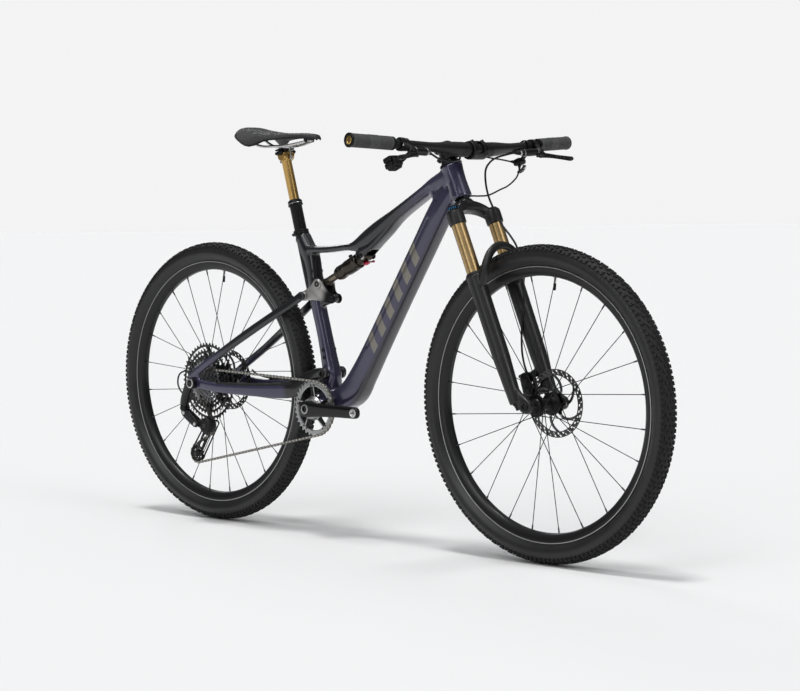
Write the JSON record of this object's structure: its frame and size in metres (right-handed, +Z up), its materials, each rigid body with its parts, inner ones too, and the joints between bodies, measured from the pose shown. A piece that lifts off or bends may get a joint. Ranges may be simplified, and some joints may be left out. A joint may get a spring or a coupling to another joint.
{
  "type": "mountain bike",
  "caption": "Full-suspension mountain bike with large knobbed wheels, disc brakes, a dropper post and a single chainring, without pedals.",
  "frame": {"origin": "on the ground, midway between the two axles", "axes": "+X forward, +Y to the rider's left, +Z up; the chain is on the -Y side"},
  "size_m": [1.88, 0.7649, 1.038],
  "materials": {
    "frame_paint": "metallic purple-blue gloss over carbon",
    "carbon": "dark satin carbon lacquer",
    "link_alloy": "satin anodised",
    "black_alloy": "black anodised, satin",
    "gold_alloy": "gold anodised, polished",
    "steel": "bright steel",
    "red_alloy": "red anodised",
    "tyre": "knobbed black rubber",
    "grip_rubber": "ribbed rubber",
    "hose": "smooth hose jacket",
    "saddle_cover": "stretched synthetic leather",
    "plastic": "moulded nylon"
  },
  "bodies": {
    "frame": {"front_triangle": "frame_paint", "bottom_bracket": "black_alloy", "headset_upper": "black_alloy", "seat_clamp": "black_alloy", "dropper_outer_tube": "black_alloy"},
    "dropper": {"dropper_inner_tube": "gold_alloy", "saddle_rails": "steel", "saddle_shell": "plastic", "saddle_pad": "saddle_cover"},
    "steering": {"fork_crown": "black_alloy", "stanchion_left": "gold_alloy", "stanchion_right": "gold_alloy", "stem": "black_alloy", "handlebar": "carbon", "grip_left": "grip_rubber", "grip_right": "grip_rubber", "brake_lever_body_left": "black_alloy", "brake_lever_body_right": "black_alloy", "shifter_pod": "plastic", "remote_body": "plastic", "front_brake_hose": "hose", "lockout_cable": "hose", "remote_cable": "hose", "rear_brake_hose": "hose"},
    "brake_blade_left": {"brake_blade_left": "black_alloy"},
    "brake_blade_right": {"brake_blade_right": "black_alloy"},
    "shift_button_up": {"shift_button_up": "plastic"},
    "shift_button_down": {"shift_button_down": "plastic"},
    "remote_lever": {"remote_lever": "plastic"},
    "fork_adjuster": {"fork_adjuster": "black_alloy"},
    "fork_lowers": {"fork_lowers": "black_alloy", "front_axle": "black_alloy", "front_caliper": "black_alloy"},
    "front_wheel": {"front_tyre": "tyre", "front_rim": "carbon", "front_hub": "black_alloy", "front_rotor": "steel"},
    "chainstays": {"chainstays": "frame_paint", "rear_caliper": "black_alloy", "derailleur_body": "black_alloy", "chain": "steel"},
    "seatstays": {"seatstay_left": "carbon", "seatstay_right": "carbon"},
    "rocker": {"rocker_link": "link_alloy"},
    "shock_body": {"shock_body": "black_alloy"},
    "shock_shaft": {"shock_shaft": "steel"},
    "shock_lever": {"shock_lever": "red_alloy"},
    "rear_wheel": {"rear_tyre": "tyre", "rear_rim": "carbon", "rear_hub": "black_alloy", "rear_rotor": "steel"},
    "cassette": {"cassette": "steel"},
    "crank": {"chainring": "steel", "crank_arm_right": "carbon", "crank_arm_left": "carbon"},
    "derailleur_link": {"derailleur_link": "black_alloy"},
    "derailleur_knuckle": {"derailleur_knuckle": "plastic"},
    "derailleur_cage": {"derailleur_cage": "black_alloy"},
    "guide_pulley": {"guide_pulley": "plastic"},
    "tension_pulley": {"tension_pulley": "plastic"}
  },
  "joints": [
    {"name": "steering", "type": "hinge", "parent": "frame", "child": "steering", "pos_m": [0.5295, 0, 0.35281], "axis": [-0.3907, 0, 0.9205], "range_deg": [-55, 55]},
    {"name": "fork_travel", "type": "slide", "parent": "steering", "child": "fork_lowers", "axis": [-0.3907, 0, 0.9205], "range_m": [0, 0.12], "stiffness_N_per_m": 8000, "springref_m": -0.012, "deforming": ["front_brake_hose"]},
    {"name": "front_wheel_spin", "type": "hinge", "parent": "fork_lowers", "child": "front_wheel", "pos_m": [0.57, 0, 0.37], "axis": [0, 1, 0], "continuous": true},
    {"name": "rear_suspension", "type": "hinge", "parent": "frame", "child": "chainstays", "pos_m": [-0.13, 0, 0.411], "axis": [0, 1, 0], "range_deg": [0, 15.5], "stiffness_Nm_per_rad": 600, "springref_deg": -4.58, "deforming": ["chain"]},
    {"name": "rocker_pivot", "type": "hinge", "parent": "frame", "child": "rocker", "pos_m": [-0.116, 0, 0.6], "axis": [0, 1, 0], "range_deg": [0, 51]},
    {"name": "seatstay_flex", "type": "hinge", "parent": "chainstays", "child": "seatstays", "pos_m": [-0.53, 0, 0.418], "axis": [0, 1, 0], "range_deg": [-9, 0]},
    {"name": "shock_tilt", "type": "hinge", "parent": "frame", "child": "shock_body", "pos_m": [-0.004, 0, 0.707], "axis": [0, 1, 0], "range_deg": [-2.5, 0]},
    {"name": "shock_stroke", "type": "slide", "parent": "shock_body", "child": "shock_shaft", "axis": [0.9027, 0, 0.4302], "range_m": [0, 0.045]},
    {"name": "shock_lever_turn", "type": "hinge", "parent": "shock_body", "child": "shock_lever", "pos_m": [-0.00851, 0, 0.70485], "axis": [-0.4302, 0, 0.9027], "range_deg": [0, 45]},
    {"name": "rear_wheel_spin", "type": "hinge", "parent": "chainstays", "child": "rear_wheel", "pos_m": [-0.57, 0, 0.37], "axis": [0, 1, 0], "continuous": true},
    {"name": "cassette_spin", "type": "hinge", "parent": "chainstays", "child": "cassette", "pos_m": [-0.57, 0, 0.37], "axis": [0, 1, 0], "continuous": true},
    {"name": "crank_spin", "type": "hinge", "parent": "frame", "child": "crank", "pos_m": [-0.143, 0, 0.325], "axis": [0, 1, 0], "continuous": true},
    {"name": "derailleur_shift", "type": "hinge", "parent": "chainstays", "child": "derailleur_link", "pos_m": [-0.6, -0.084, 0.289], "axis": [0.3272, 0.766, 0.5534], "range_deg": [-20, 42]},
    {"name": "derailleur_level", "type": "hinge", "parent": "derailleur_link", "child": "derailleur_knuckle", "pos_m": [-0.556, -0.081, 0.263], "axis": [0.3272, 0.766, 0.5534], "range_deg": [-42, 20]},
    {"name": "cage_pivot", "type": "hinge", "parent": "derailleur_knuckle", "child": "derailleur_cage", "pos_m": [-0.527, -0.0525, 0.259], "axis": [0, 1, 0], "range_deg": [-45, 3], "stiffness_Nm_per_rad": 0.8},
    {"name": "guide_pulley_spin", "type": "hinge", "parent": "derailleur_cage", "child": "guide_pulley", "pos_m": [-0.548, -0.0525, 0.256], "axis": [0, 1, 0], "continuous": true},
    {"name": "tension_pulley_spin", "type": "hinge", "parent": "derailleur_cage", "child": "tension_pulley", "pos_m": [-0.594, -0.0525, 0.179], "axis": [0, 1, 0], "continuous": true},
    {"name": "dropper_travel", "type": "slide", "parent": "frame", "child": "dropper", "axis": [-0.2656, 0, 0.9641], "range_m": [-0.1, 0], "stiffness_N_per_m": 150, "springref_m": 0.2},
    {"name": "brake_lever_left", "type": "hinge", "parent": "steering", "child": "brake_blade_left", "pos_m": [0.37913, 0.222, 0.95275], "axis": [0.4706, 0, 0.8824], "range_deg": [0, 20], "stiffness_Nm_per_rad": 0.4},
    {"name": "brake_lever_right", "type": "hinge", "parent": "steering", "child": "brake_blade_right", "pos_m": [0.37913, -0.222, 0.95275], "axis": [-0.4706, 0, -0.8824], "range_deg": [0, 20], "stiffness_Nm_per_rad": 0.4},
    {"name": "shift_up_press", "type": "slide", "parent": "steering", "child": "shift_button_up", "axis": [0, 1, 0], "range_m": [0, 0.002], "stiffness_N_per_m": 600},
    {"name": "shift_down_press", "type": "slide", "parent": "steering", "child": "shift_button_down", "axis": [0, 1, 0], "range_m": [0, 0.002], "stiffness_N_per_m": 600},
    {"name": "remote_press", "type": "hinge", "parent": "steering", "child": "remote_lever", "pos_m": [0.33858, 0.207, 0.92032], "axis": [0, 1, 0], "range_deg": [0, 20], "stiffness_Nm_per_rad": 0.3},
    {"name": "fork_adjuster_turn", "type": "hinge", "parent": "steering", "child": "fork_adjuster", "pos_m": [0.35254, -0.065, 0.82088], "axis": [-0.3907, 0, 0.9205], "range_deg": [0, 62]}
  ],
  "couplings": [
    {"joint": "rocker_pivot", "follows": "rear_suspension", "ratio": 3.254},
    {"joint": "seatstay_flex", "follows": "rear_suspension", "ratio": -0.558},
    {"joint": "shock_tilt", "follows": "rear_suspension", "ratio": -0.125},
    {"joint": "shock_stroke", "follows": "rear_suspension", "m_per_rad": 0.16146},
    {"joint": "cassette_spin", "follows": "crank_spin", "ratio": 1.8889},
    {"joint": "guide_pulley_spin", "follows": "crank_spin", "ratio": -2.8333},
    {"joint": "tension_pulley_spin", "follows": "crank_spin", "ratio": 2.8333},
    {"joint": "derailleur_level", "follows": "derailleur_shift", "ratio": -1},
    {"joint": "fork_adjuster_turn", "follows": "remote_press", "ratio": 3},
    {"joint": "shock_lever_turn", "follows": "remote_press", "ratio": 2}
  ]
}
